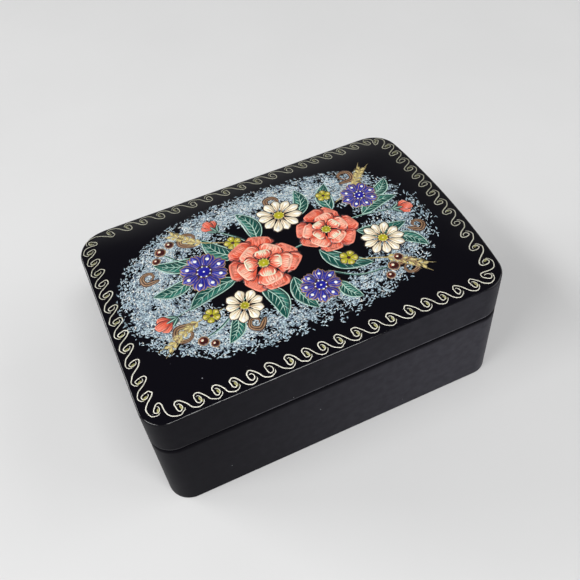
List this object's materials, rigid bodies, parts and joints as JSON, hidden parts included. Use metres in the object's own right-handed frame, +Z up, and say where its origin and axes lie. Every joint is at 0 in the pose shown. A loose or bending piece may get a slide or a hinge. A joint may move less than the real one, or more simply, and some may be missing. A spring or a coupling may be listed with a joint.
{
  "type": "hinged lacquer box",
  "caption": "Small oblong papier-mache box with rounded corners and a crowned lid that turns up and back on a wire hinge in the back edge, for keeping jewellery or trinkets.",
  "frame": {"origin": "middle of the base's underside, the face the box rests on, centred between the base's corners", "axes": "+X along the box's length to its right, seen from the front; +Y to the back, where the hinge is; +Z up"},
  "size_m": [0.0914, 0.0628, 0.0374],
  "materials": {
    "black_lacquer": "papier-mache under glossy black oil lacquer",
    "red_lacquer": "papier-mache under glossy red oil lacquer",
    "tin_plate": "tin-plated steel strip",
    "steel_wire": "drawn steel wire",
    "gold_paint": "gold paint line under clear varnish",
    "painting": "tempera painting under clear varnish"
  },
  "bodies": {
    "base": {"base_wall": "black_lacquer", "base_floor": "black_lacquer", "inner_rim": "red_lacquer", "base_knuckle_left": "tin_plate", "base_knuckle_middle": "tin_plate", "base_knuckle_right": "tin_plate", "hinge_pin": "steel_wire"},
    "lid": {"lid_wall": "black_lacquer", "lid_plate": "black_lacquer", "lid_knuckle_left": "tin_plate", "lid_knuckle_right": "tin_plate"}
  },
  "joints": [
    {"name": "lid_hinge", "type": "hinge", "parent": "base", "child": "lid", "pos_m": [0, 0.0304, 0.0244], "axis": [-1, 0, 0], "range_deg": [0, 100]}
  ]
}
